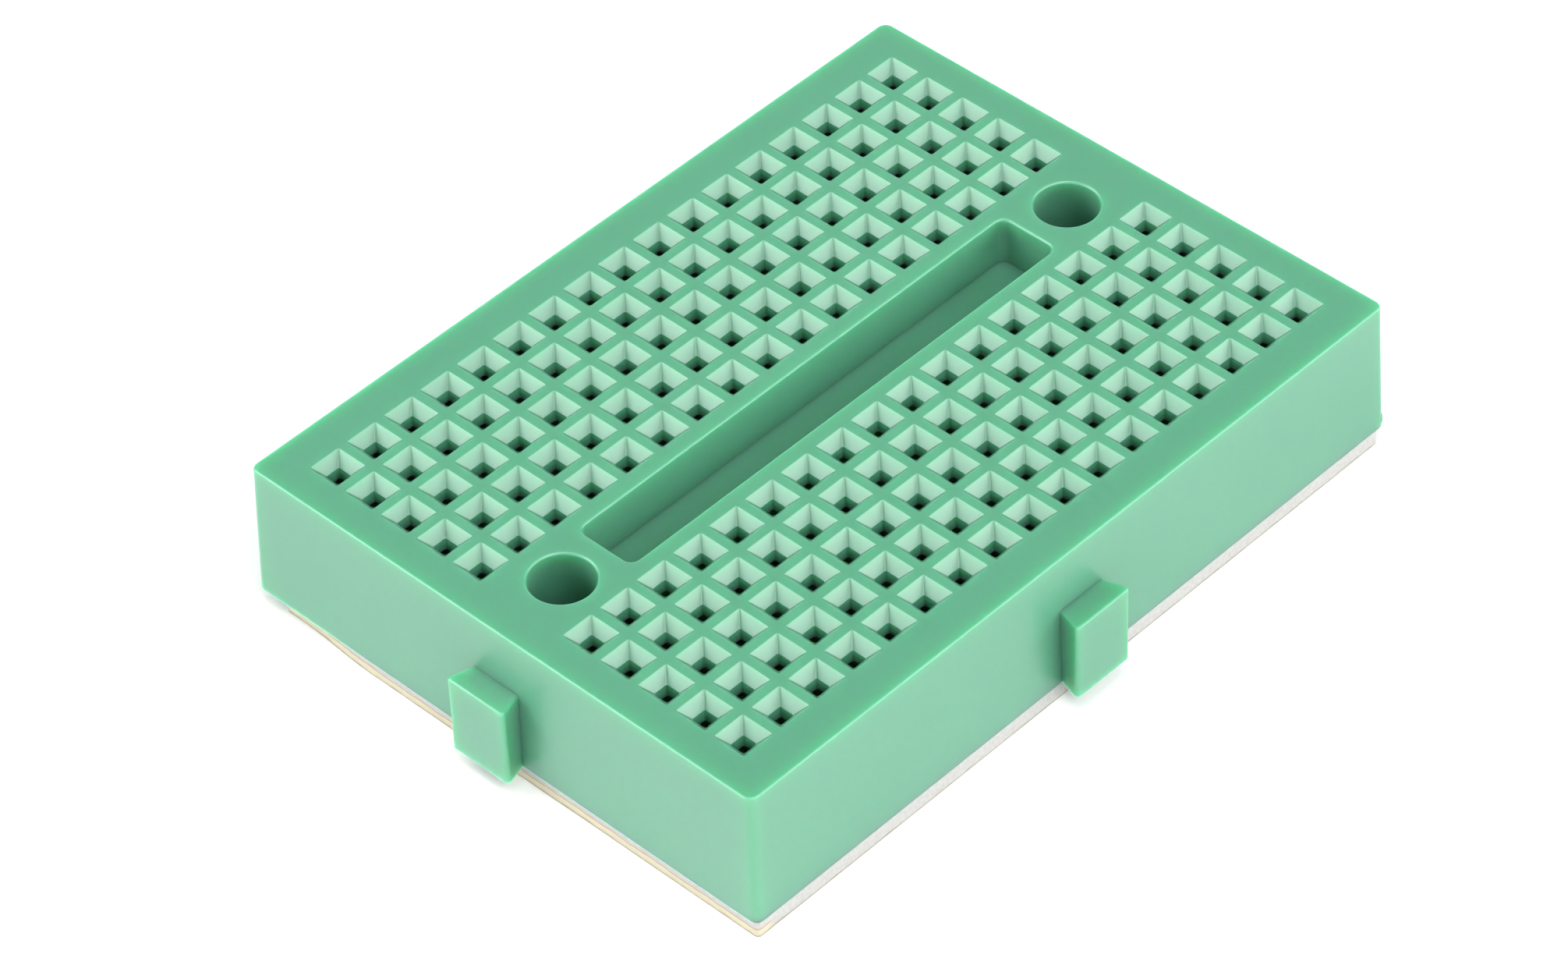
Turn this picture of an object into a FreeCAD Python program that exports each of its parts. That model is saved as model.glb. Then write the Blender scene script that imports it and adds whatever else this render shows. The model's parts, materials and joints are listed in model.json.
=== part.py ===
"""Solderless breadboard with 170 tie points: housing, 34 contact clips, foam tape and release liner.

The origin is the centre of the housing's footprint, on the face that rests on the bench.
X runs along the columns of sockets, Y across the two banks, and Z up.
"""
import FreeCAD, Part
import math
import os
import Sketcher

doc = FreeCAD.newDocument("breadboard")
sheet = doc.addObject("Spreadsheet::Sheet", "sizes")

# Every size that can be set by itself, in millimetres.
SIZES = [
    ("pitch", 2.54, "sockets, centre to centre, both ways"),
    ("columns", 17, "sockets along one row"),
    ("rows", 5, "sockets that share one clip"),
    ("bank_gap", 7.62, "inner row of one bank to inner row of the other, so a chip straddles it"),
    ("end_margin", 3.18, "last column to the end of the housing"),
    ("side_margin", 3.53, "outer row to the side of the housing"),
    ("housing_height", 8.2, "underside to top face"),
    ("wall_draft", 0.24, "lean of each outer wall, over its whole height"),
    ("corner_radius", 0.5, "upright corners of the housing"),
    ("top_rounding", 0.16, "edge between the top face and the outer walls"),
    ("deck_thickness", 1.3, "plate that the sockets pass through"),
    ("socket_rim", 2.0, "side of a socket's square mouth"),
    ("socket_throat", 0.83, "side of the square that the funnel narrows to"),
    ("funnel_depth", 0.62, "mouth to throat"),
    ("cavity_width", 1.9, "clip cavity, along X"),
    ("cavity_reach", 1.17, "end socket's centre to the cavity's end"),
    ("channel_width", 3.7, "centre channel, along Y"),
    ("channel_depth", 2.9, "centre channel, below the top face"),
    ("channel_corner", 0.55, "corners of the centre channel in plan"),
    ("hollow_web", 1.3, "plastic between the hollow under the channel and the clip cavities"),
    ("hole_diameter", 3.5, "screw holes"),
    ("hole_inset", 5.0, "screw hole's centre to the end of the housing"),
    ("hole_bridge", 1.2, "plastic between a screw hole and the channel"),
    ("tab_tip", 4.0, "dovetail tab's width at its outer face"),
    ("tab_neck", 3.2, "dovetail tab's width at the wall"),
    ("tab_reach", 1.35, "how far a tab stands out from the foot of the wall"),
    ("tab_height", 4.8, "tabs, from the underside up"),
    ("tab_root", 0.8, "how deep a tab is carried into the wall"),
    ("tab_rounding", 0.2, "outer edges of the tabs"),
    ("key_clearance", 0.15, "room round a tab in another board's keyway"),
    ("strip_thickness", 0.2, "metal of the contact clips"),
    ("clip_side_clearance", 0.2, "clip's base to the cavity wall, each side"),
    ("clip_end_clearance", 0.1, "clip's end to the cavity wall, each end"),
    ("clip_headroom", 0.9, "top of the leaves to the underside of the deck"),
    ("knee_height", 1.2, "where the leaves start to lean together"),
    ("mouth_height", 1.6, "pinch line to the top of the leaves"),
    ("mouth_width", 1.1, "between the leaves at their top"),
    ("pinch_gap", 0.1, "between the leaves at the pinch line"),
    ("leaf_slit", 0.5, "cut between neighbouring leaves"),
    ("slit_foot", 0.4, "metal left standing below each slit"),
    ("tape_thickness", 0.9, "foam tape, not squeezed"),
    ("liner_thickness", 0.1, "release liner"),
    ("tape_corner", 1.0, "corners of the tape and its liner"),
    ("tape_inset_left", 0.1, "tape's edge to the end wall with the tab"),
    ("tape_inset_right", 0.5, "tape's edge to the end wall with the keyway"),
    ("tape_inset_front", 0.05, "tape's edge to the side wall with the tab"),
    ("tape_inset_back", 1.5, "tape's edge to the side wall with the keyway"),
    ("overrun", 1.0, "how far a cut runs on past the solid that it leaves"),
]
for row, (alias, number, note) in enumerate(SIZES, start=1):
    sheet.set(f"A{row}", str(number))
    sheet.setAlias(f"A{row}", alias)
    sheet.set(f"B{row}", note)
doc.recompute()

# Sizes that follow from the sheet, as expressions that the document keeps live.
HALF_LENGTH = "((sizes.columns - 1) * sizes.pitch / 2 + sizes.end_margin)"
HALF_WIDTH = "(sizes.bank_gap / 2 + (sizes.rows - 1) * sizes.pitch + sizes.side_margin)"
FIRST_COLUMN = "(-(sizes.columns - 1) * sizes.pitch / 2)"
BANK_CENTRE = "(sizes.bank_gap / 2 + (sizes.rows - 1) * sizes.pitch / 2)"
CAVITY_LENGTH = "((sizes.rows - 1) * sizes.pitch + 2 * sizes.cavity_reach)"
CAVITY_HEIGHT = "(sizes.housing_height - sizes.deck_thickness)"
HOLE_X = f"({HALF_LENGTH} - sizes.hole_inset)"
CHANNEL_HALF = f"({HOLE_X} - sizes.hole_diameter / 2 - sizes.hole_bridge)"
CLIP_HEIGHT = f"({CAVITY_HEIGHT} - sizes.clip_headroom)"
PINCH_HEIGHT = f"({CLIP_HEIGHT} - sizes.mouth_height)"
UNDERSIDE = "(sizes.liner_thickness + sizes.tape_thickness)"
FLUSH = 1e-4   # two points nearer than this lie on one face
WEDGE_DOWN = (0, 0, -90)   # yaw, pitch and roll in degrees that point a wedge's narrow end down


def value(expression):
    """The number that an expression gives with the sheet as it stands."""
    return float(sheet.evalExpression(expression))


def origin_feature(body, role):
    """One of a body's own origin planes or axes, found by its role."""
    return next(item for item in body.Origin.OriginFeatures if item.Role == role)


def new_body(label):
    """An empty body whose label is the name of the sub-part."""
    body = doc.addObject("PartDesign::Body", label)
    body.Label = label
    return body


def new_sketch(body, name, plane, offset=None):
    """A sketch on one of the body's origin planes, raised by an expression where one is given."""
    sketch = body.newObject("Sketcher::SketchObject", name)
    sketch.AttachmentSupport = (origin_feature(body, plane), "")
    sketch.MapMode = "FlatFace"
    if offset:
        sketch.setExpression("AttachmentOffset.Base.z", offset)
    return sketch


def bind(sketch, constraint, expression):
    """Add a dimension to a sketch and tie it to an expression."""
    number = sketch.addConstraint(constraint)
    sketch.setExpression(f"Constraints[{number}]", expression)


def draw_outline(sketch, points):
    """A closed outline of straight lines through points, each a pair of expressions."""
    first = sketch.GeometryCount
    corners = [FreeCAD.Vector(value(x), value(y), 0) for x, y in points]
    ends = corners[1:] + corners[:1]
    lines = [Part.LineSegment(start, end) for start, end in zip(corners, ends)]
    sketch.addGeometry(lines, False)
    count = len(points)
    for index, (x, y) in enumerate(points):
        line = first + index
        following = first + (index + 1) % count
        sketch.addConstraint(Sketcher.Constraint("Coincident", line, 2, following, 1))
        bind(sketch, Sketcher.Constraint("DistanceX", -1, 1, line, 1, value(x)), x)
        bind(sketch, Sketcher.Constraint("DistanceY", -1, 1, line, 1, value(y)), y)


def draw_rounded_box(sketch, left, right, front, back, radius):
    """A rectangle with round corners, between four expressions."""
    x0, x1, y0, y1, r = (value(item) for item in (left, right, front, back, radius))
    centres = [(x1 - r, y1 - r), (x0 + r, y1 - r), (x0 + r, y0 + r), (x1 - r, y0 + r)]
    up = FreeCAD.Vector(0, 0, 1)
    arcs = []
    for turn, (x, y) in enumerate(centres):
        circle = Part.Circle(FreeCAD.Vector(x, y, 0), up, r)
        arcs.append(Part.ArcOfCircle(circle, turn * math.pi / 2, (turn + 1) * math.pi / 2))
    lines = []
    for arc, following in zip(arcs, arcs[1:] + arcs[:1]):
        lines.append(Part.LineSegment(arc.EndPoint, following.StartPoint))
    sketch.addGeometry(arcs + lines, False)
    for arc in range(4):
        line = arc + 4
        sketch.addConstraint(Sketcher.Constraint("Tangent", arc, 2, line, 1))
        sketch.addConstraint(Sketcher.Constraint("Tangent", line, 2, (arc + 1) % 4, 1))
        level = "Horizontal" if arc % 2 == 0 else "Vertical"
        sketch.addConstraint(Sketcher.Constraint(level, line))
    for arc in range(1, 4):
        sketch.addConstraint(Sketcher.Constraint("Equal", 0, arc))
    bind(sketch, Sketcher.Constraint("Radius", 0, r), radius)
    bind(sketch, Sketcher.Constraint("DistanceY", -1, 1, 4, 1, y1), back)
    bind(sketch, Sketcher.Constraint("DistanceX", -1, 1, 5, 1, x0), left)
    bind(sketch, Sketcher.Constraint("DistanceY", -1, 1, 6, 1, y0), front)
    bind(sketch, Sketcher.Constraint("DistanceX", -1, 1, 7, 1, x1), right)


def draw_circle(sketch, x, radius):
    """A circle on the sketch's own X axis, at an expression along it."""
    centre = FreeCAD.Vector(value(x), 0, 0)
    circle = sketch.addGeometry(Part.Circle(centre, FreeCAD.Vector(0, 0, 1), value(radius)), False)
    sketch.addConstraint(Sketcher.Constraint("PointOnObject", circle, 3, -1))
    bind(sketch, Sketcher.Constraint("DistanceX", -1, 1, circle, 3, value(x)), x)
    bind(sketch, Sketcher.Constraint("Radius", circle, value(radius)), radius)


def box_corners(left, right, front, back):
    """The four corners of a plain rectangle between four expressions."""
    return [(left, front), (right, front), (right, back), (left, back)]


def grow(body, kind, name, sketch, length, **settings):
    """A pad or a pocket of a sketch. It must add or remove plastic, or the build stops."""
    before = body.Shape.Volume if body.Tip else 0.0
    feature = body.newObject(kind, name)
    feature.Profile = sketch
    for key, setting in settings.items():
        setattr(feature, key, setting)
    if length:
        feature.setExpression("Length", length)
    doc.recompute()
    change = body.Shape.Volume - before
    adds = kind == "PartDesign::Pad"
    if change == 0 or adds != (change > 0):
        raise RuntimeError(f"{name} changed the volume by {change:.4f}")
    return feature


def linear_pattern(body, name, axis, count, spacing):
    """A straight row of copies; count and spacing are expressions."""
    pattern = body.newObject("PartDesign::LinearPattern", name)
    pattern.Direction = (origin_feature(body, axis), [""])
    pattern.Mode = "Spacing"
    pattern.setExpression("Occurrences", count)
    pattern.setExpression("Offset", spacing)
    return pattern


def repeat_over_sockets(body, name, originals, along_bank):
    """Copy features to every column, down one bank where asked, and then to the other bank."""
    before = body.Shape.Volume
    repeat = body.newObject("PartDesign::MultiTransform", name)
    repeat.Originals = originals
    steps = [linear_pattern(body, f"{name}_columns", "X_Axis", "sizes.columns", "sizes.pitch")]
    if along_bank:
        steps.append(linear_pattern(body, f"{name}_rows", "Y_Axis", "sizes.rows", "sizes.pitch"))
    mirror = body.newObject("PartDesign::Mirrored", f"{name}_banks")
    mirror.MirrorPlane = (origin_feature(body, "XZ_Plane"), [""])
    repeat.Transformations = steps + [mirror]
    body.Tip = repeat
    doc.recompute()
    if body.Shape.Volume >= before:
        raise RuntimeError(f"{name} removed nothing")


def round_edges(body, name, base, radius, chosen):
    """Round the edges of a feature that a test picks out."""
    picked = [f"Edge{number}" for number, edge in enumerate(base.Shape.Edges, start=1) if chosen(edge)]
    fillet = body.newObject("PartDesign::Fillet", name)
    fillet.Base = (base, picked)
    fillet.setExpression("Radius", radius)
    doc.recompute()
    return fillet


def dovetail(root, mouth, face, neck, tip):
    """Corners of a dovetail on the X axis: root inside the wall, mouth at the wall, then the wide face."""
    half_neck = f"({neck}) / 2"
    half_tip = f"({tip}) / 2"
    near = [(root, half_neck), (mouth, half_neck), (face, half_tip)]
    return near + [(x, f"-({y})") for x, y in reversed(near)]


def swapped(points):
    """The same outline turned from the X axis to the Y axis."""
    return [(y, x) for x, y in points]


def make_housing():
    """The moulded block: outer shell, tabs and keyways, clip cavities, channel, holes and sockets."""
    body = new_body("housing")
    body.setExpression("Placement.Base.z", UNDERSIDE)

    # Outer shell: a plain block, its walls drafted from the foot up, then its corners and top edge rounded.
    sketch = new_sketch(body, "footprint", "XY_Plane")
    draw_outline(sketch, box_corners(f"-{HALF_LENGTH}", HALF_LENGTH, f"-{HALF_WIDTH}", HALF_WIDTH))
    block = grow(body, "PartDesign::Pad", "block", sketch, "sizes.housing_height")
    top = value("sizes.housing_height")
    walls = [f"Face{number}" for number, face in enumerate(block.Shape.Faces, start=1)
             if abs(face.normalAt(0, 0).z) < FLUSH]
    shell = body.newObject("PartDesign::Draft", "drafted_walls")
    shell.Base = (block, walls)
    shell.NeutralPlane = (origin_feature(body, "XY_Plane"), [""])
    shell.setExpression("Angle", "atan(sizes.wall_draft / sizes.housing_height)")
    doc.recompute()

    def upright(edge):
        return abs(edge.BoundBox.ZLength - top) < FLUSH

    def on_top(edge):
        return all(abs(vertex.Z - top) < FLUSH for vertex in edge.Vertexes)

    shell = round_edges(body, "upright_edges", shell, "sizes.corner_radius", upright)
    round_edges(body, "top_edge", shell, "sizes.top_rounding", on_top)

    # Dovetail tabs stand on the left end and the front side, level with the underside.
    ends = (("left_tab", HALF_LENGTH, False), ("front_tab", HALF_WIDTH, True))
    for name, wall, turned in ends:
        points = dovetail(f"-({wall} - sizes.tab_root)", f"-{wall}", f"-({wall} + sizes.tab_reach)",
                          "sizes.tab_neck", "sizes.tab_tip")
        sketch = new_sketch(body, f"{name}_outline", "XY_Plane")
        draw_outline(sketch, swapped(points) if turned else points)
        tab = grow(body, "PartDesign::Pad", name, sketch, "sizes.tab_height")
        outer = -(value(wall) + value("sizes.tab_reach"))

        def on_outer_face(edge):
            ends_on_face = all(abs((v.Y if turned else v.X) - outer) < FLUSH for v in edge.Vertexes)
            return ends_on_face and any(v.Z > FLUSH for v in edge.Vertexes)

        round_edges(body, f"{name}_edges", tab, "sizes.tab_rounding", on_outer_face)

    # Keyways for another board's tabs are open at the underside of the right end and the back side.
    keyways = (("right_keyway", HALF_LENGTH, False), ("back_keyway", HALF_WIDTH, True))
    for name, wall, turned in keyways:
        points = dovetail(f"({wall} + sizes.overrun)", wall,
                          f"({wall} - sizes.tab_reach - sizes.key_clearance)",
                          "sizes.tab_neck + 2 * sizes.key_clearance",
                          "sizes.tab_tip + 2 * sizes.key_clearance")
        sketch = new_sketch(body, f"{name}_outline", "XY_Plane")
        draw_outline(sketch, swapped(points) if turned else points)
        grow(body, "PartDesign::Pocket", name, sketch, "sizes.tab_height + sizes.key_clearance",
             Reversed=True)

    # One clip cavity under the first column of the back bank, then one for every clip.
    sketch = new_sketch(body, "cavity_outline", "XY_Plane")
    draw_outline(sketch, box_corners(f"({FIRST_COLUMN} - sizes.cavity_width / 2)",
                                     f"({FIRST_COLUMN} + sizes.cavity_width / 2)",
                                     f"({BANK_CENTRE} - {CAVITY_LENGTH} / 2)",
                                     f"({BANK_CENTRE} + {CAVITY_LENGTH} / 2)"))
    cavity = grow(body, "PartDesign::Pocket", "cavity", sketch, CAVITY_HEIGHT, Reversed=True)
    repeat_over_sockets(body, "cavities", [cavity], along_bank=False)

    # The centre channel from above, and the hollow that keeps its floor an even thickness from below.
    sketch = new_sketch(body, "channel_outline", "XY_Plane", "sizes.housing_height")
    draw_rounded_box(sketch, f"-{CHANNEL_HALF}", CHANNEL_HALF, "-sizes.channel_width / 2",
                     "sizes.channel_width / 2", "sizes.channel_corner")
    grow(body, "PartDesign::Pocket", "channel", sketch, "sizes.channel_depth")
    sketch = new_sketch(body, "hollow_outline", "XY_Plane")
    half_hollow = "(sizes.bank_gap / 2 - sizes.cavity_reach - sizes.hollow_web)"
    draw_outline(sketch, box_corners(f"-{CHANNEL_HALF}", CHANNEL_HALF, f"-{half_hollow}", half_hollow))
    grow(body, "PartDesign::Pocket", "hollow", sketch, f"{CAVITY_HEIGHT} - sizes.channel_depth",
         Reversed=True)

    # Two screw holes through the block, one at each end of the channel.
    sketch = new_sketch(body, "screw_hole_outline", "XY_Plane", "sizes.housing_height")
    for side in ("-", ""):
        draw_circle(sketch, f"{side}{HOLE_X}", "sizes.hole_diameter / 2")
    grow(body, "PartDesign::Pocket", "screw_holes", sketch, None, Type="ThroughAll")

    # One socket: a square funnel, as a wedge that narrows downwards, and a straight throat below it.
    row_y = "(sizes.bank_gap / 2)"
    funnel = body.newObject("PartDesign::SubtractiveWedge", "funnel")
    funnel.AttachmentSupport = (origin_feature(body, "XY_Plane"), "")
    funnel.MapMode = "FlatFace"
    funnel.AttachmentOffset = FreeCAD.Placement(FreeCAD.Vector(), FreeCAD.Rotation(*WEDGE_DOWN))
    for axis, place in (("x", FIRST_COLUMN), ("y", row_y), ("z", "sizes.housing_height")):
        funnel.setExpression(f"AttachmentOffset.Base.{axis}", place)
    funnel.setExpression("Ymin", "0")
    funnel.setExpression("Ymax", "sizes.funnel_depth")
    for end, side in (("", "sizes.socket_rim"), ("2", "sizes.socket_throat")):
        for axis in ("X", "Z"):
            funnel.setExpression(f"{axis}{end}min", f"-{side} / 2")
            funnel.setExpression(f"{axis}{end}max", f"{side} / 2")
    doc.recompute()
    sketch = new_sketch(body, "throat_outline", "XY_Plane", "sizes.housing_height - sizes.funnel_depth")
    half = "sizes.socket_throat / 2"
    draw_outline(sketch, box_corners(f"({FIRST_COLUMN} - {half})", f"({FIRST_COLUMN} + {half})",
                                     f"({row_y} - {half})", f"({row_y} + {half})"))
    throat = grow(body, "PartDesign::Pocket", "throat", sketch, "sizes.deck_thickness - sizes.funnel_depth")
    repeat_over_sockets(body, "sockets", [funnel, throat], along_bank=True)
    return body


def make_clip(label, column, bank):
    """A strip bent to a channel, with a pair of leaves under each of its five sockets.

    The leaves lean together from a knee to a pinch line and open again as a mouth above it.
    """
    body = new_body(label)
    body.setExpression("Placement.Base.x", f"{FIRST_COLUMN} + {column} * sizes.pitch")
    body.setExpression("Placement.Base.y", f"{bank}{BANK_CENTRE}")
    body.setExpression("Placement.Base.z", UNDERSIDE)

    half_base = "(sizes.cavity_width / 2 - sizes.clip_side_clearance)"
    metal = "sizes.strip_thickness"
    inner = [(f"({half_base} - {metal})", metal), (f"({half_base} - {metal})", "sizes.knee_height"),
             ("sizes.pinch_gap / 2", PINCH_HEIGHT), ("sizes.mouth_width / 2", CLIP_HEIGHT)]
    outer = [(f"(sizes.mouth_width / 2 + {metal})", CLIP_HEIGHT),
             (f"(sizes.pinch_gap / 2 + {metal})", PINCH_HEIGHT),
             (half_base, "sizes.knee_height"), (half_base, "0")]
    right = inner + outer
    left = [(f"-({x})", z) for x, z in reversed(right)]
    section = new_sketch(body, f"{label}_section", "XZ_Plane")
    draw_outline(section, right + left)
    grow(body, "PartDesign::Pad", f"{label}_strip", section,
         f"{CAVITY_LENGTH} - 2 * sizes.clip_end_clearance", SideType="Symmetric")

    slit = new_sketch(body, f"{label}_slit_outline", "YZ_Plane")
    first = "(-(sizes.rows - 2) * sizes.pitch / 2)"
    draw_outline(slit, box_corners(f"({first} - sizes.leaf_slit / 2)", f"({first} + sizes.leaf_slit / 2)",
                                   f"({metal} + sizes.slit_foot)", f"({CLIP_HEIGHT} + sizes.overrun)"))
    cut = grow(body, "PartDesign::Pocket", f"{label}_slit", slit, None,
               Type="ThroughAll", SideType="Symmetric")
    slits = linear_pattern(body, f"{label}_slits", "Y_Axis", "sizes.rows - 1", "sizes.pitch")
    slits.Originals = [cut]
    body.Tip = slits
    doc.recompute()
    return body


def make_sheet(label, level, thickness):
    """A die-cut sheet under the housing: the foam tape, or the liner on its lower face."""
    body = new_body(label)
    if level:
        body.setExpression("Placement.Base.z", level)
    sketch = new_sketch(body, f"{label}_outline", "XY_Plane")
    draw_rounded_box(sketch, f"-({HALF_LENGTH} - sizes.tape_inset_left)",
                     f"({HALF_LENGTH} - sizes.tape_inset_right)",
                     f"-({HALF_WIDTH} - sizes.tape_inset_front)",
                     f"({HALF_WIDTH} - sizes.tape_inset_back)", "sizes.tape_corner")
    grow(body, "PartDesign::Pad", f"{label}_pad", sketch, thickness)
    return body


def check_and_export(bodies):
    """Stop on any failed object or bad shape, then write one file for each sub-part."""
    doc.recompute()
    for item in doc.Objects:
        if "Invalid" in item.State or "Error" in item.State:
            raise RuntimeError(f"{item.Label} failed: {item.State}")
    for body in bodies:
        shape = body.Shape
        if shape.isNull() or not shape.isValid() or len(shape.Solids) != 1:
            raise RuntimeError(f"{body.Label} is not one valid solid")
    os.makedirs("parts", exist_ok=True)
    for body in bodies:
        body.Shape.exportStep(f"parts/{body.Label}.step")
        box = body.Shape.BoundBox
        print(f"{body.Label}: {box.XLength:.2f} x {box.YLength:.2f} x {box.ZLength:.2f},"
              f" {body.Shape.Volume:.2f} cubic millimetres")


pieces = [make_housing()]
for bank_name, bank_sign in (("upper", ""), ("lower", "-")):
    for column_index in range(int(value("sizes.columns"))):
        name = f"contact_clip_{bank_name}_{column_index + 1:02d}"
        pieces.append(make_clip(name, column_index, bank_sign))
pieces.append(make_sheet("foam_tape", "sizes.liner_thickness", "sizes.tape_thickness"))
pieces.append(make_sheet("release_liner", None, "sizes.liner_thickness"))
check_and_export(pieces)
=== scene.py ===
"""A small solderless breadboard of 170 tie points, lying on its foam tape and release liner."""
import math
import bmesh
import bpy
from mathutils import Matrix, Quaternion, Vector
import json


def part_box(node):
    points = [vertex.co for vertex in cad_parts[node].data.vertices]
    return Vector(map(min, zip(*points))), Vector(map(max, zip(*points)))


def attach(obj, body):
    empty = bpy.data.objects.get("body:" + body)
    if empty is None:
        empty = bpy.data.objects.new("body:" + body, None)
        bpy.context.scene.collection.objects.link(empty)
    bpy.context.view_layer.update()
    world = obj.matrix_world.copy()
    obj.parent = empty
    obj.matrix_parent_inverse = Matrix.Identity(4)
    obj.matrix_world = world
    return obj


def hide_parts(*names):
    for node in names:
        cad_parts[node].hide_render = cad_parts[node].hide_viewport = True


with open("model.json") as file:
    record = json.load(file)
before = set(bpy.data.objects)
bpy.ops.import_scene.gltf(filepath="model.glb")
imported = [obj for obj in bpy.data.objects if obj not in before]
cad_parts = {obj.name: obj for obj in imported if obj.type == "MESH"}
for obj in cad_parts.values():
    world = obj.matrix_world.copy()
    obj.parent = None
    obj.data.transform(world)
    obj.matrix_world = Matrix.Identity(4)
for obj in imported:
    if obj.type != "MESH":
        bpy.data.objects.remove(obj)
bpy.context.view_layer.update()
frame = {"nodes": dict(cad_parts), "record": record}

# ---------------------------------------------------------------------------------------------
# Housing. One block of green ABS, injection moulded with its sockets, clip cavities, centre
# channel, screw holes, tabs and keyways. The walls lean in towards the top so that it leaves
# the mould, and every edge that the tool cuts away is left with a small radius.
# ---------------------------------------------------------------------------------------------
MM = 0.001                # shaping is done in millimetres, and the finished mesh is taken down to metres
ROWS = 5                  # sockets over each clip
COLUMNS = 17              # clips in each bank
DECK = 1.3                # plate that the sockets pass through
SOCKET_RIM = 2.0          # side of a socket's mouth
SOCKET_THROAT = 0.83      # side of the straight part below the funnel
FUNNEL_DEPTH = 0.62
THROAT_FLARE = 0.07       # how much wider a throat is where the funnel meets it
SOCKET_CORNER = 0.10      # radius down a socket's valleys
SOCKET_EASE = 0.04        # radius between a funnel and the top face
CAVITY_SIZE = (1.9, 12.5)
CHANNEL_SIZE = (31.1, 3.7)
CHANNEL_DEPTH = 2.9
CHANNEL_CORNER = 0.55
HOLLOW_WIDTH = 2.68       # hollow below the channel's floor
SCREW_BORE = 3.5
RIM_EASE = 0.14           # radius round the channel's and the screw holes' mouths
DRAFT = 0.24              # lean of each wall over its height
UPRIGHT_CORNER = 0.5
TOP_EASE = 0.11           # radius between the top face and the walls
TAB_NECK, TAB_TIP, TAB_HEIGHT = 3.2, 4.0, 4.8
TAB_ROOT = 0.8            # how far a tab is carried into the wall
TAB_CORNER = 0.30         # radius down a tab's outer corners
TAB_EASE = 0.14           # radius round its upper face
KEY_ROOM = 0.15           # clearance round another board's tab
FOOT_FLASH = (0.62, 0.8)  # side and height of the proud foot at one corner
OVERRUN = 1.0             # how far a cutter runs past the face that it leaves

housing_low, housing_high = (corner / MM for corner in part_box("housing"))
half_length, half_width = housing_high.x, housing_high.y
foot, top = housing_low.z, housing_high.z
tab_reach = -housing_low.x - half_length
first_clip, second_clip = ([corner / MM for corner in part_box(f"contact_clip_upper_{n:02d}")] for n in (1, 2))
pitch = second_clip[0].x - first_clip[0].x
first_column = (first_clip[0].x + first_clip[1].x) / 2
bank_centre = (first_clip[0].y + first_clip[1].y) / 2
inner_row = bank_centre - (ROWS - 1) / 2 * pitch
screw_hole = next(mount for mount in frame["record"]["mounts"] if mount["name"] == "screw_hole_right")
hole_x = screw_hole["pos_m"][0] / MM


def deselect_all():
    """Leaves nothing selected, in object mode."""
    if bpy.context.mode != "OBJECT":
        bpy.ops.object.mode_set(mode="OBJECT")
    bpy.ops.object.select_all(action="DESELECT")


def activate(piece):
    """Selects one piece alone and makes it the active one."""
    deselect_all()
    piece.select_set(True)
    bpy.context.view_layer.objects.active = piece


def pick(piece, kind, wanted):
    """Selects the vertices, edges or faces, in edit mode, whose points all pass the test."""
    kinds = ("verts", "edges", "faces")
    bpy.context.tool_settings.mesh_select_mode = [kind == name for name in kinds]
    bpy.ops.mesh.select_all(action="DESELECT")
    cage = bmesh.from_edit_mesh(piece.data)
    for item in getattr(cage, kind):
        points = [item.co] if kind == "verts" else [v.co for v in item.verts]
        item.select_set(wanted(points))
    cage.select_flush_mode()
    bmesh.update_edit_mesh(piece.data)


def stack_rings(name, centre, rings, corner=0.0, corner_steps=1, sides=4):
    """A solid raised ring by ring from a square or a circle. Each ring is (length, width, height)."""
    deselect_all()
    if sides == 4:
        bpy.ops.mesh.primitive_plane_add(size=1)
    else:
        bpy.ops.mesh.primitive_circle_add(vertices=sides, radius=0.5, fill_type="NGON")
    solid = bpy.context.object
    solid.name = name
    length, width, height = rings[0]
    here = (centre[0], centre[1], height)
    bpy.ops.object.mode_set(mode="EDIT")
    bpy.ops.mesh.select_all(action="SELECT")
    bpy.ops.transform.resize(value=(length, width, 1), center_override=(0, 0, 0))
    bpy.ops.transform.translate(value=here)
    if corner:
        bpy.ops.mesh.bevel(offset=corner, segments=corner_steps, affect="VERTICES")
        bpy.ops.mesh.select_all(action="SELECT")
    for next_length, next_width, next_height in rings[1:]:
        bpy.ops.mesh.extrude_region_move(TRANSFORM_OT_translate={"value": (0, 0, next_height - height)})
        scale = (next_length / length, next_width / width, 1)
        bpy.ops.transform.resize(value=scale, center_override=here)
        length, width, height = next_length, next_width, next_height
    bpy.ops.mesh.select_all(action="SELECT")
    bpy.ops.mesh.normals_make_consistent(inside=False)
    bpy.ops.object.mode_set(mode="OBJECT")
    return solid


def eased_mouth(length, width, radius, lean=90.0, steps=4):
    """Rings of a cutter's mouth that rolls over onto the top face with a radius. lean is its wall's slope."""
    turn = math.radians(lean)
    reach = radius * math.tan(turn / 2)
    rings = []
    for step in range(steps + 1):
        angle = turn * (1 - step / steps)
        out = reach - radius * math.sin(angle)
        rings.append((length + 2 * out, width + 2 * out, top - radius * (1 - math.cos(angle))))
    return rings + [(length + 2 * reach, width + 2 * reach, top + OVERRUN)]


def repeat(piece, count, step):
    """Copies a piece count times in a row, each copy one step further on."""
    activate(piece)
    bpy.ops.object.modifier_add(type="ARRAY")
    row = piece.modifiers[-1]
    row.count = count
    row.use_relative_offset = False
    row.use_constant_offset = True
    row.constant_offset_displace = step
    bpy.ops.object.modifier_apply(modifier=row.name)


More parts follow.
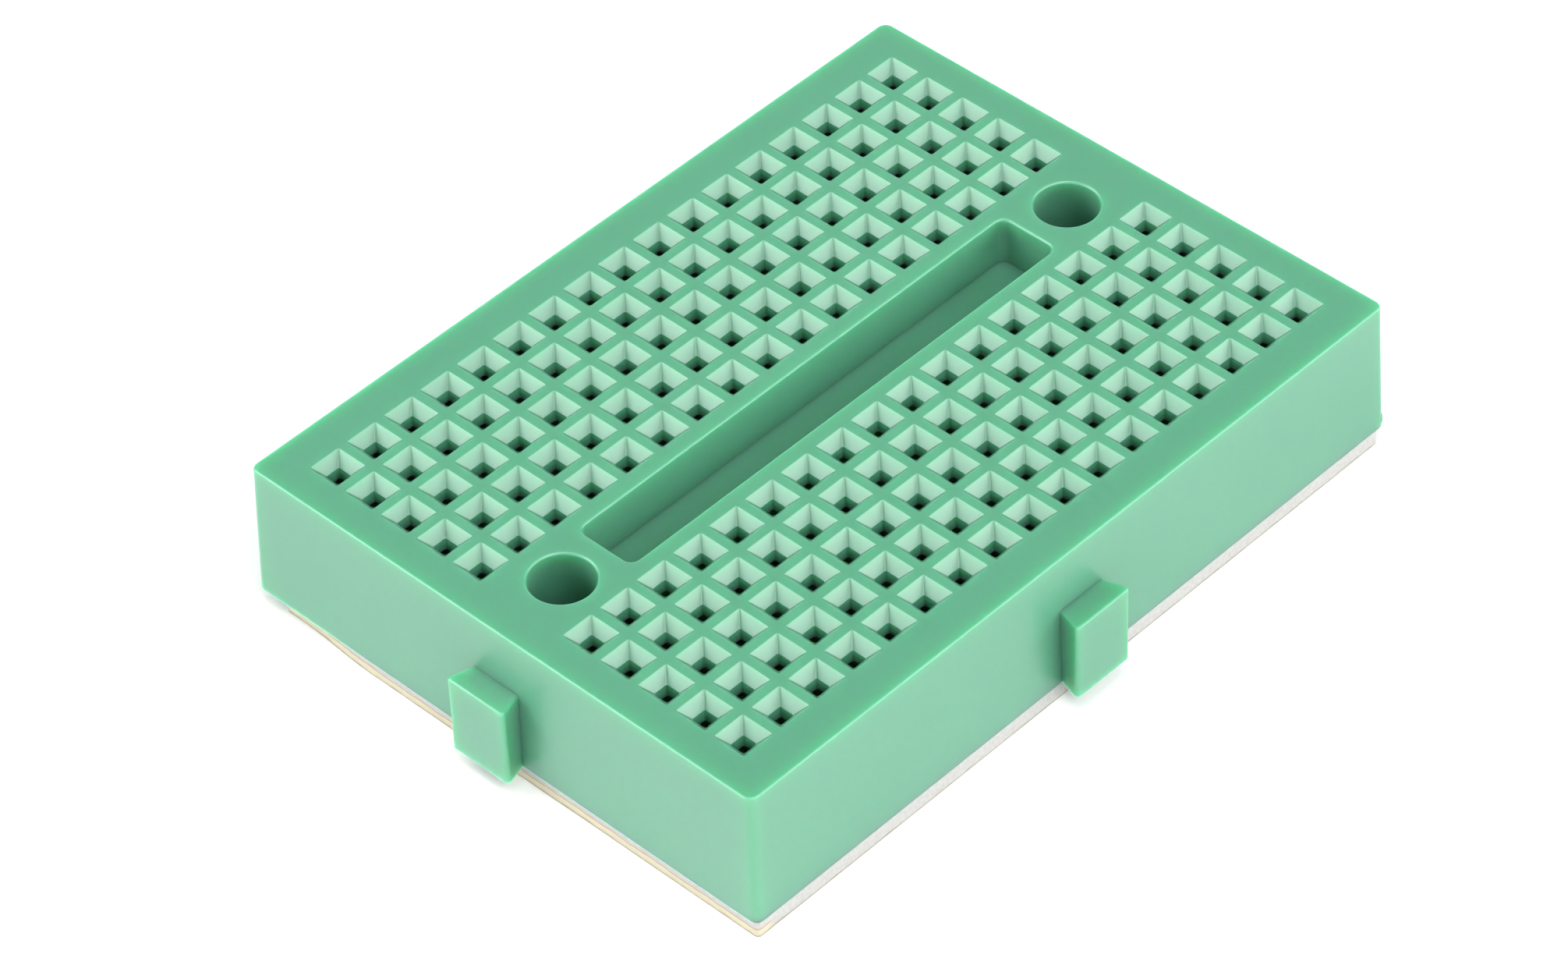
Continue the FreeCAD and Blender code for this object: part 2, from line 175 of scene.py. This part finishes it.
def combine(solid, tool, operation):
    """Cuts a tool out of a solid, or joins it on, and throws the tool away."""
    activate(solid)
    bpy.ops.object.modifier_add(type="BOOLEAN")
    step = solid.modifiers[-1]
    step.object, step.operation, step.solver = tool, operation, "EXACT"
    bpy.ops.object.modifier_apply(modifier=step.name)
    bpy.data.objects.remove(tool, do_unlink=True)


def dovetail(name, wall, neck, tip, reach, root, height):
    """A dovetail that widens from a wall at x = wall towards -X, with a straight root behind the wall."""
    deselect_all()
    middle = (wall + (root - reach) / 2, 0, foot + height / 2)
    bpy.ops.mesh.primitive_cube_add(size=1, location=middle, scale=(reach + root, neck, height))
    solid = bpy.context.object
    solid.name = name
    bpy.ops.object.transform_apply(location=True, scale=True)
    bpy.ops.object.mode_set(mode="EDIT")
    bpy.ops.mesh.select_all(action="SELECT")
    bpy.ops.mesh.bisect(plane_co=(wall, 0, 0), plane_no=(1, 0, 0))
    outer = wall - reach
    pick(solid, "faces", lambda points: all(abs(p.x - outer) < 0.01 for p in points))
    bpy.ops.transform.resize(value=(1, tip / neck, 1), center_override=(outer, 0, middle[2]))
    bpy.ops.object.mode_set(mode="OBJECT")
    return solid


def ease_tab(tab, wall):
    """Rounds a tab's outer corners and the edges of its upper face."""
    outer, summit = wall - tab_reach, foot + TAB_HEIGHT
    bpy.ops.object.mode_set(mode="EDIT")
    pick(tab, "edges", lambda points: all(abs(p.x - outer) < 0.01 for p in points)
         and abs(points[0].z - points[1].z) > 1)
    bpy.ops.mesh.bevel(offset=TAB_CORNER, segments=6, affect="EDGES")
    pick(tab, "edges", lambda points: all(abs(p.z - summit) < 0.01 for p in points)
         and not all(abs(p.x - wall) < 0.01 for p in points))
    bpy.ops.mesh.bevel(offset=TAB_EASE, segments=4, affect="EDGES")
    bpy.ops.object.mode_set(mode="OBJECT")


def turn_to_y(piece):
    """Turns a piece that points along -X a quarter turn, to point along -Y."""
    activate(piece)
    piece.rotation_euler.z = math.radians(90)
    bpy.ops.object.transform_apply(rotation=True)


def finish_mesh(piece, angle):
    """Merges doubles, turns the faces out, takes the mesh to metres and smooths its small radii."""
    activate(piece)
    bpy.ops.object.mode_set(mode="EDIT")
    bpy.ops.mesh.select_all(action="SELECT")
    bpy.ops.mesh.remove_doubles(threshold=0.0005)
    bpy.ops.mesh.dissolve_degenerate(threshold=0.0005)
    bpy.ops.mesh.normals_make_consistent(inside=False)
    bpy.ops.object.mode_set(mode="OBJECT")
    piece.scale = (MM, MM, MM)
    bpy.ops.object.transform_apply(scale=True)
    bpy.ops.object.shade_smooth_by_angle(angle=math.radians(angle))
    bpy.ops.object.modifier_add(type="WEIGHTED_NORMAL")
    weights = piece.modifiers[-1]
    weights.keep_sharp = True
    weights.weight = 100
    bpy.ops.object.modifier_apply(modifier=weights.name)


wall_top = top - TOP_EASE
lean = DRAFT / (top - foot)
shell_rings = [(2 * half_length, 2 * half_width, foot)]
for step in range(6):
    angle = math.radians(90) * step / 5
    inset = lean * (wall_top - foot) + TOP_EASE * (1 - math.cos(angle))
    level = wall_top + TOP_EASE * math.sin(angle)
    shell_rings.append((2 * (half_length - inset), 2 * (half_width - inset), level))
housing = stack_rings("housing_moulding", (0, 0), shell_rings, UPRIGHT_CORNER, 6)

for wall, turned in ((-half_length, False), (-half_width, True)):
    tab = dovetail("tab", wall, TAB_NECK, TAB_TIP, tab_reach, TAB_ROOT, TAB_HEIGHT)
    ease_tab(tab, wall)
    if turned:
        turn_to_y(tab)
    combine(housing, tab, "UNION")
for wall, turned in ((half_length, False), (half_width, True)):
    keyway = dovetail("keyway", wall, TAB_NECK + 2 * KEY_ROOM, TAB_TIP + 2 * KEY_ROOM,
                      tab_reach + KEY_ROOM, OVERRUN, TAB_HEIGHT + KEY_ROOM)
    if turned:
        turn_to_y(keyway)
    bpy.ops.object.mode_set(mode="EDIT")
    pick(keyway, "faces", lambda points: all(abs(p.z - foot) < 0.01 for p in points))
    bpy.ops.transform.translate(value=(0, 0, -OVERRUN))
    bpy.ops.object.mode_set(mode="OBJECT")
    combine(housing, keyway, "DIFFERENCE")

side, rise = FOOT_FLASH
swell = ((-0.22, 0.0), (-0.06, 0.14), (0.0, 0.3), (-0.02, 0.55), (-0.1, 0.72), (-0.24, rise))
flash = stack_rings("foot_flash", (half_length - side / 2 - 0.02, -half_width + side / 2 + 0.02),
                    [(side + grow, side + grow, foot + level) for grow, level in swell], 0.2, 5)
combine(housing, flash, "UNION")

cavity = stack_rings("cavity", (first_column, bank_centre),
                     [CAVITY_SIZE + (foot - OVERRUN,), CAVITY_SIZE + (top - DECK,)])
repeat(cavity, COLUMNS, (pitch, 0, 0))
repeat(cavity, 2, (0, -2 * bank_centre, 0))
combine(housing, cavity, "DIFFERENCE")

funnel_lean = math.degrees(math.atan2(FUNNEL_DEPTH, (SOCKET_RIM - SOCKET_THROAT) / 2))
throat = (SOCKET_THROAT, SOCKET_THROAT)
flared = (SOCKET_THROAT + THROAT_FLARE, SOCKET_THROAT + THROAT_FLARE)
socket = stack_rings("socket", (first_column, inner_row),
                     [throat + (top - DECK - OVERRUN / 2,), throat + (top - DECK + 0.1,),
                      flared + (top - FUNNEL_DEPTH,)]
                     + eased_mouth(SOCKET_RIM, SOCKET_RIM, SOCKET_EASE, funnel_lean, 2))
bpy.ops.object.mode_set(mode="EDIT")
pick(socket, "edges", lambda points: abs(points[0].z - points[1].z) > 0.001)
bpy.ops.mesh.bevel(offset=SOCKET_CORNER, segments=3, affect="EDGES")
bpy.ops.object.mode_set(mode="OBJECT")
repeat(socket, COLUMNS, (pitch, 0, 0))
repeat(socket, ROWS, (0, pitch, 0))
repeat(socket, 2, (0, -inner_row - bank_centre - (ROWS - 1) / 2 * pitch, 0))
combine(housing, socket, "DIFFERENCE")

channel = stack_rings("channel", (0, 0),
                      [CHANNEL_SIZE + (top - CHANNEL_DEPTH,)] + eased_mouth(*CHANNEL_SIZE, RIM_EASE),
                      CHANNEL_CORNER, 6)
combine(housing, channel, "DIFFERENCE")
hollow = stack_rings("hollow", (0, 0), [(CHANNEL_SIZE[0], HOLLOW_WIDTH, foot - OVERRUN),
                                        (CHANNEL_SIZE[0], HOLLOW_WIDTH, top - CHANNEL_DEPTH - DECK)])
combine(housing, hollow, "DIFFERENCE")
for x in (-hole_x, hole_x):
    bore = stack_rings("screw_hole", (x, 0), [(SCREW_BORE, SCREW_BORE, foot - OVERRUN)]
                       + eased_mouth(SCREW_BORE, SCREW_BORE, RIM_EASE), sides=64)
    combine(housing, bore, "DIFFERENCE")
finish_mesh(housing, 28)


def new_material(name):
    """A material with only a Principled shader and its output, and that shader."""
    material = bpy.data.materials.new(name)
    material.use_nodes = True
    shader = material.node_tree.nodes["Principled BSDF"]
    return material, shader


def add_node(tree, kind, inputs=None, **settings):
    """A node with its settings, and each of its inputs given a value or a link."""
    node = tree.nodes.new(kind)
    for name, setting in settings.items():
        setattr(node, name, setting)
    for name, given in (inputs or {}).items():
        if isinstance(given, bpy.types.NodeSocket):
            tree.links.new(given, node.inputs[name])
        else:
            node.inputs[name].default_value = given
    return node


def new_group(name, inputs):
    """A shader node group with float inputs and one float output, Mask, that reads Object coordinates."""
    group = bpy.data.node_groups.new(name, "ShaderNodeTree")
    for label, number in inputs.items():
        group.interface.new_socket(label, in_out="INPUT", socket_type="NodeSocketFloat").default_value = number
    group.interface.new_socket("Mask", in_out="OUTPUT", socket_type="NodeSocketFloat")
    start = group.nodes.new("NodeGroupInput")
    place = group.nodes.new("ShaderNodeTexCoord").outputs["Object"]
    end = group.nodes.new("NodeGroupOutput")
    return group, start, place, end


def place_group(tree, group, inputs):
    """A group placed in a material with that material's own values."""
    return add_node(tree, "ShaderNodeGroup", inputs, node_tree=group).outputs["Mask"]


# Dust and grit: one speck in some cells of a random cell pattern.
specks_group, start, place, end = new_group("specks", {"Scale": 400.0, "Size": 0.06, "Share": 0.15})
cells = add_node(specks_group, "ShaderNodeTexVoronoi", {"Vector": place, "Scale": start.outputs["Scale"]})
chance = add_node(specks_group, "ShaderNodeSeparateColor", {"Color": cells.outputs["Color"]})
kept = add_node(specks_group, "ShaderNodeMath", {0: chance.outputs["Red"], 1: start.outputs["Share"]},
                operation="LESS_THAN")
size = add_node(specks_group, "ShaderNodeMath", {0: start.outputs["Size"], 1: chance.outputs["Green"]},
                operation="MULTIPLY")
near = add_node(specks_group, "ShaderNodeMath", {0: cells.outputs["Distance"], 1: size.outputs[0]},
                operation="LESS_THAN")
both = add_node(specks_group, "ShaderNodeMath", {0: kept.outputs[0], 1: near.outputs[0]}, operation="MULTIPLY")
specks_group.links.new(both.outputs[0], end.inputs["Mask"])

# A fine moulded or fibrous surface, as a height.
grain_group, start, place, end = new_group("grain", {"Scale": 9000.0, "Detail": 3.0, "Stretch": 1.0})
stretch = add_node(grain_group, "ShaderNodeCombineXYZ", {"X": 1.0, "Y": 1.0, "Z": start.outputs["Stretch"]})
drawn = add_node(grain_group, "ShaderNodeVectorMath", {0: place, 1: stretch.outputs[0]}, operation="MULTIPLY")
noise = add_node(grain_group, "ShaderNodeTexNoise", {"Vector": drawn.outputs[0],
                 "Scale": start.outputs["Scale"], "Detail": start.outputs["Detail"]})
grain_group.links.new(noise.outputs["Fac"], end.inputs["Mask"])


def blend_colours(tree, factor, first, second):
    """The first colour where the factor is 0 and the second where it is 1."""
    return add_node(tree, "ShaderNodeMix", {0: factor, 6: first, 7: second}, data_type="RGBA").outputs[2]


def spread(tree, given, low, high):
    """A value from 0 to 1 taken to a value from low to high."""
    return add_node(tree, "ShaderNodeMapRange", {"Value": given, "To Min": low, "To Max": high}).outputs["Result"]


ABS_GREEN = (0.098, 0.330, 0.206, 1)
ABS_DEEP = (0.090, 0.308, 0.191, 1)
DUST = (0.80, 0.86, 0.80, 1)

abs_plastic, shader = new_material("green_abs")
tree = abs_plastic.node_tree
cloud = place_group(tree, grain_group, {"Scale": 160.0, "Detail": 2.0, "Stretch": 1.0})
specks = place_group(tree, specks_group, {"Scale": 330.0, "Size": 0.045, "Share": 0.12})
green = blend_colours(tree, cloud, ABS_GREEN, ABS_DEEP)
dusty = blend_colours(tree, specks, green, DUST)
satin = place_group(tree, grain_group, {"Scale": 14000.0, "Detail": 2.0, "Stretch": 1.0})
drawn = place_group(tree, grain_group, {"Scale": 2600.0, "Detail": 3.0, "Stretch": 0.12})
bump = add_node(tree, "ShaderNodeBump", {"Height": satin, "Strength": 0.06, "Distance": 0.00002})
tree.links.new(dusty, shader.inputs["Base Color"])
tree.links.new(spread(tree, drawn, 0.31, 0.38), shader.inputs["Roughness"])
tree.links.new(bump.outputs["Normal"], shader.inputs["Normal"])
shader.inputs["IOR"].default_value = 1.80
shader.inputs["Subsurface Weight"].default_value = 1.0
shader.inputs["Subsurface Radius"].default_value = (0.25, 1.0, 0.5)
shader.inputs["Subsurface Scale"].default_value = 0.0025

housing.data.materials.clear()
housing.data.materials.append(abs_plastic)
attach(housing, "board")
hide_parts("housing")

# ---------------------------------------------------------------------------------------------
# Contact clips. Thirty-four strips of plated bronze, each folded so that five pairs of leaves
# pinch a lead. They are pushed up into their cavities from below and held in by the tape.
# ---------------------------------------------------------------------------------------------
PLATED = (0.66, 0.62, 0.55, 1)
TARNISH = (0.46, 0.38, 0.28, 1)

clip_metal, shader = new_material("plated_bronze")
tree = clip_metal.node_tree
stain = place_group(tree, grain_group, {"Scale": 700.0, "Detail": 4.0, "Stretch": 1.0})
rolled = place_group(tree, grain_group, {"Scale": 9000.0, "Detail": 2.0, "Stretch": 0.05})
bump = add_node(tree, "ShaderNodeBump", {"Height": rolled, "Strength": 0.1, "Distance": 0.00002})
tree.links.new(blend_colours(tree, spread(tree, stain, -0.6, 1.0), PLATED, TARNISH), shader.inputs["Base Color"])
tree.links.new(spread(tree, stain, 0.22, 0.42), shader.inputs["Roughness"])
tree.links.new(bump.outputs["Normal"], shader.inputs["Normal"])
shader.inputs["Metallic"].default_value = 1.0

for name, node in frame["nodes"].items():
    if name.startswith("contact_clip"):
        node.data.materials.clear()
        node.data.materials.append(clip_metal)

# ---------------------------------------------------------------------------------------------
# Foam tape. A sheet of white closed-cell foam with adhesive on both faces, cut by hand a little
# smaller than the housing and pressed onto its underside, where it closes the clip cavities.
# ---------------------------------------------------------------------------------------------
TAPE_CORNER = 0.25
TAPE_PULL = 0.30          # how far the tape was pulled in at one corner
FOAM_WHITE = (0.50, 0.495, 0.485, 1)
FOAM_SHADE = (0.40, 0.39, 0.37, 1)
# cream for the lower half of the left end's edge, laid on that end only
LEFT_END_CREAM = (0.56, 0.51, 0.37, 1)
SEAM_TAN = (0.40, 0.31, 0.24, 1)
GRIT = (0.13, 0.10, 0.06, 1)


def cut_sheet(name, low, high, levels, cuts, seed, waver):
    """A sheet with rounded corners, its edge divided and nudged about as a hand-cut edge is."""
    size = (high.x - low.x, high.y - low.y)
    middle = ((low.x + high.x) / 2, (low.y + high.y) / 2)
    sheet = stack_rings(name, middle, [size + (levels[0],), size + (levels[-1],)], TAPE_CORNER, 5)
    activate(sheet)
    bpy.ops.object.mode_set(mode="EDIT")
    for level in levels[1:-1]:
        bpy.ops.mesh.select_all(action="SELECT")
        bpy.ops.mesh.bisect(plane_co=(0, 0, level), plane_no=(0, 0, 1))
    pick(sheet, "edges", lambda points: (points[0] - points[1]).length > TAPE_CORNER * 5)
    bpy.ops.mesh.subdivide(number_cuts=cuts)
    pick(sheet, "verts", lambda points: True)
    bpy.ops.transform.vertex_random(offset=waver, seed=seed)
    for face_level in (levels[0], levels[-1]):
        pick(sheet, "verts", lambda points: abs(points[0].z - face_level) < 0.04)
        bpy.ops.transform.resize(value=(1, 1, 0), center_override=(0, 0, face_level))
    bpy.ops.object.mode_set(mode="OBJECT")
    return sheet


def pull_corner(sheet):
    """Draws a sheet's corner at the left and back in by TAPE_PULL, fading out along its end."""
    bpy.ops.object.mode_set(mode="EDIT")
    corner = Vector((foam_low.x, foam_high.y))
    pick(sheet, "verts", lambda points: (points[0].xy - corner).length < 1.5)
    bpy.ops.transform.translate(value=(TAPE_PULL, -0.1, 0), use_proportional_edit=True,
                                proportional_edit_falloff="SMOOTH", proportional_size=5.5)
    bpy.ops.object.mode_set(mode="OBJECT")


foam_low, foam_high = (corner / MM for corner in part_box("foam_tape"))
levels = [foam_low.z + (foam_high.z - foam_low.z) * step / 4 for step in range(5)]
foam = cut_sheet("foam_tape_sheet", foam_low, foam_high, levels, 90, 4, 0.025)
pull_corner(foam)
finish_mesh(foam, 50)

foam_material, shader = new_material("closed_cell_foam")
tree = foam_material.node_tree
cells = place_group(tree, grain_group, {"Scale": 5200.0, "Detail": 3.0, "Stretch": 1.0})
grit = place_group(tree, specks_group, {"Scale": 500.0, "Size": 0.10, "Share": 0.10})
stains = place_group(tree, specks_group, {"Scale": 700.0, "Size": 0.45, "Share": 0.25})
waver = place_group(tree, grain_group, {"Scale": 700.0, "Detail": 2.0, "Stretch": 0.0})
place = add_node(tree, "ShaderNodeTexCoord").outputs["Object"]
along = add_node(tree, "ShaderNodeSeparateXYZ", {"Vector": place})
level = add_node(tree, "ShaderNodeMath", {0: along.outputs["Z"], 1: spread(tree, waver, -0.00012, 0.00012)},
                 operation="ADD").outputs[0]
# Cream on the left end only, below about half the foam's height, with a tan line along its upper edge and tan
# spots in it.
low_part = add_node(tree, "ShaderNodeMapRange", {"Value": level, "From Min": 0.00060,
                    "From Max": 0.00046}).outputs["Result"]
left_part = add_node(tree, "ShaderNodeMapRange", {"Value": along.outputs["X"], "From Min": -0.0222,
                     "From Max": -0.0227}).outputs["Result"]
left_end_low = add_node(tree, "ShaderNodeMath", {0: low_part, 1: left_part}, operation="MULTIPLY").outputs[0]
above = add_node(tree, "ShaderNodeMath", {0: 1.0, 1: low_part}, operation="SUBTRACT").outputs[0]
seam = add_node(tree, "ShaderNodeMath", {0: left_end_low, 1: above}, operation="MULTIPLY").outputs[0]
stained = add_node(tree, "ShaderNodeMath", {0: left_end_low, 1: stains}, operation="MULTIPLY").outputs[0]
white = blend_colours(tree, spread(tree, cells, -0.5, 1.2), FOAM_WHITE, FOAM_SHADE)
cream = blend_colours(tree, left_end_low, white, LEFT_END_CREAM)
seamed = blend_colours(tree, spread(tree, seam, 0.0, 4.0), cream, SEAM_TAN)
spotted = blend_colours(tree, spread(tree, stained, 0.0, 0.6), seamed, SEAM_TAN)
gritty = blend_colours(tree, grit, spotted, GRIT)
bump = add_node(tree, "ShaderNodeBump", {"Height": cells, "Strength": 0.5, "Distance": 0.00005})
tree.links.new(gritty, shader.inputs["Base Color"])
tree.links.new(bump.outputs["Normal"], shader.inputs["Normal"])
shader.inputs["Roughness"].default_value = 0.85
shader.inputs["Subsurface Weight"].default_value = 0.3
shader.inputs["Subsurface Radius"].default_value = (1.0, 0.9, 0.8)
shader.inputs["Subsurface Scale"].default_value = 0.0004
foam.data.materials.clear()
foam.data.materials.append(foam_material)
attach(foam, "board")
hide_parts("foam_tape")

# ---------------------------------------------------------------------------------------------
# Release liner. Silicone-coated paper that keeps the lower adhesive clean. It is cut with the
# tape and peels off before the board is stuck down.
# ---------------------------------------------------------------------------------------------
LINER_FACE = (0.40, 0.375, 0.30, 1)
LINER_FIBRE = (0.29, 0.265, 0.19, 1)

liner_low, liner_high = (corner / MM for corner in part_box("release_liner"))
liner = cut_sheet("release_liner_sheet", liner_low, liner_high, [liner_low.z, liner_high.z], 70, 9, 0.01)
pull_corner(liner)
finish_mesh(liner, 50)

liner_paper, shader = new_material("liner_paper")
tree = liner_paper.node_tree
fibres = place_group(tree, grain_group, {"Scale": 3000.0, "Detail": 5.0, "Stretch": 1.0})
bump = add_node(tree, "ShaderNodeBump", {"Height": fibres, "Strength": 0.25, "Distance": 0.00003})
tree.links.new(blend_colours(tree, fibres, LINER_FACE, LINER_FIBRE), shader.inputs["Base Color"])
tree.links.new(spread(tree, fibres, 0.45, 0.70), shader.inputs["Roughness"])
tree.links.new(bump.outputs["Normal"], shader.inputs["Normal"])
liner.data.materials.clear()
liner.data.materials.append(liner_paper)
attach(liner, "liner")
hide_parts("release_liner")

# ---------------------------------------------------------------------------------------------
# Studio. A pale bench, a wide soft light low on each side with a square one above it, one right
# overhead, a weak fill in front and one behind, and a long lens that looks at the near corner.
# ---------------------------------------------------------------------------------------------
FLOOR_WHITE = (0.90, 0.90, 0.90, 1)
FLOOR_SIDE = 4.0
ROOM_WHITE = (1.0, 1.0, 1.0, 1)
ROOM_STRENGTH = 0.02
SOFTBOX_DISTANCE = 0.8
LENS = 140.95             # on a sensor 36 mm wide
CAMERA_AIM = (-0.00659, -0.00361)
CAMERA_DISTANCE = 0.3031
CAMERA_AZIMUTH = -44.69   # round from the front side towards the left end, in degrees
CAMERA_ELEVATION = 43.42
CAMERA_ROLL = -2.63

deselect_all()
bpy.ops.mesh.primitive_plane_add(size=FLOOR_SIDE, location=(0, 0, 0))
floor = bpy.context.object
floor.name = "floor"
bench, shader = new_material("pale_bench")
shader.inputs["Base Color"].default_value = FLOOR_WHITE
shader.inputs["Roughness"].default_value = 0.9
floor.data.materials.append(bench)

world = bpy.data.worlds.new("studio")
bpy.context.scene.world = world
world.use_nodes = True
background = world.node_tree.nodes["Background"]
background.inputs["Color"].default_value = ROOM_WHITE
background.inputs["Strength"].default_value = ROOM_STRENGTH


def add_softbox(name, azimuth, elevation, width, height, radiance):
    """A soft light that faces the board from that direction."""
    turn, rise = math.radians(azimuth), math.radians(elevation)
    back = Vector((math.sin(turn) * math.cos(rise), -math.cos(turn) * math.cos(rise), math.sin(rise)))
    deselect_all()
    bpy.ops.object.light_add(type="AREA", location=back * SOFTBOX_DISTANCE)
    lamp = bpy.context.object
    lamp.name = name
    lamp.rotation_mode = "QUATERNION"
    lamp.rotation_quaternion = (-back).to_track_quat("-Z", "Y")
    lamp.data.shape = "RECTANGLE"
    lamp.data.size, lamp.data.size_y = width, height
    lamp.data.energy = radiance * math.pi * width * height


add_softbox("left_softbox", CAMERA_AZIMUTH - 82, 21, 0.95, 0.36, 4.2)
add_softbox("left_top_softbox", CAMERA_AZIMUTH - 104, 44, 0.5, 0.5, 4.6)
add_softbox("right_softbox", CAMERA_AZIMUTH + 82, 21, 0.95, 0.36, 5.5)
add_softbox("right_top_softbox", CAMERA_AZIMUTH + 35, 46, 0.5, 0.5, 5.5)
add_softbox("front_fill", CAMERA_AZIMUTH - 25, 14, 0.5, 0.5, 1.6)
add_softbox("back_fill", CAMERA_AZIMUTH + 180, 14, 0.5, 0.5, 1.1)
add_softbox("overhead_softbox", CAMERA_AZIMUTH, 85, 0.5, 0.5, 3.3)

turn, rise = math.radians(CAMERA_AZIMUTH), math.radians(CAMERA_ELEVATION)
back = Vector((math.sin(turn) * math.cos(rise), -math.cos(turn) * math.cos(rise), math.sin(rise)))
aim = Vector(CAMERA_AIM + (top * MM,))
deselect_all()
bpy.ops.object.camera_add(location=aim + back * CAMERA_DISTANCE)
camera = bpy.context.object
camera.rotation_mode = "QUATERNION"
roll = Quaternion((0, 0, 1), math.radians(CAMERA_ROLL))
camera.rotation_quaternion = (-back).to_track_quat("-Z", "Y") @ roll
camera.data.lens = LENS
camera.data.sensor_width = 36
camera.data.clip_start, camera.data.clip_end = 0.01, 20
bpy.context.scene.camera = camera
bpy.context.scene.view_settings.view_transform = "Standard"
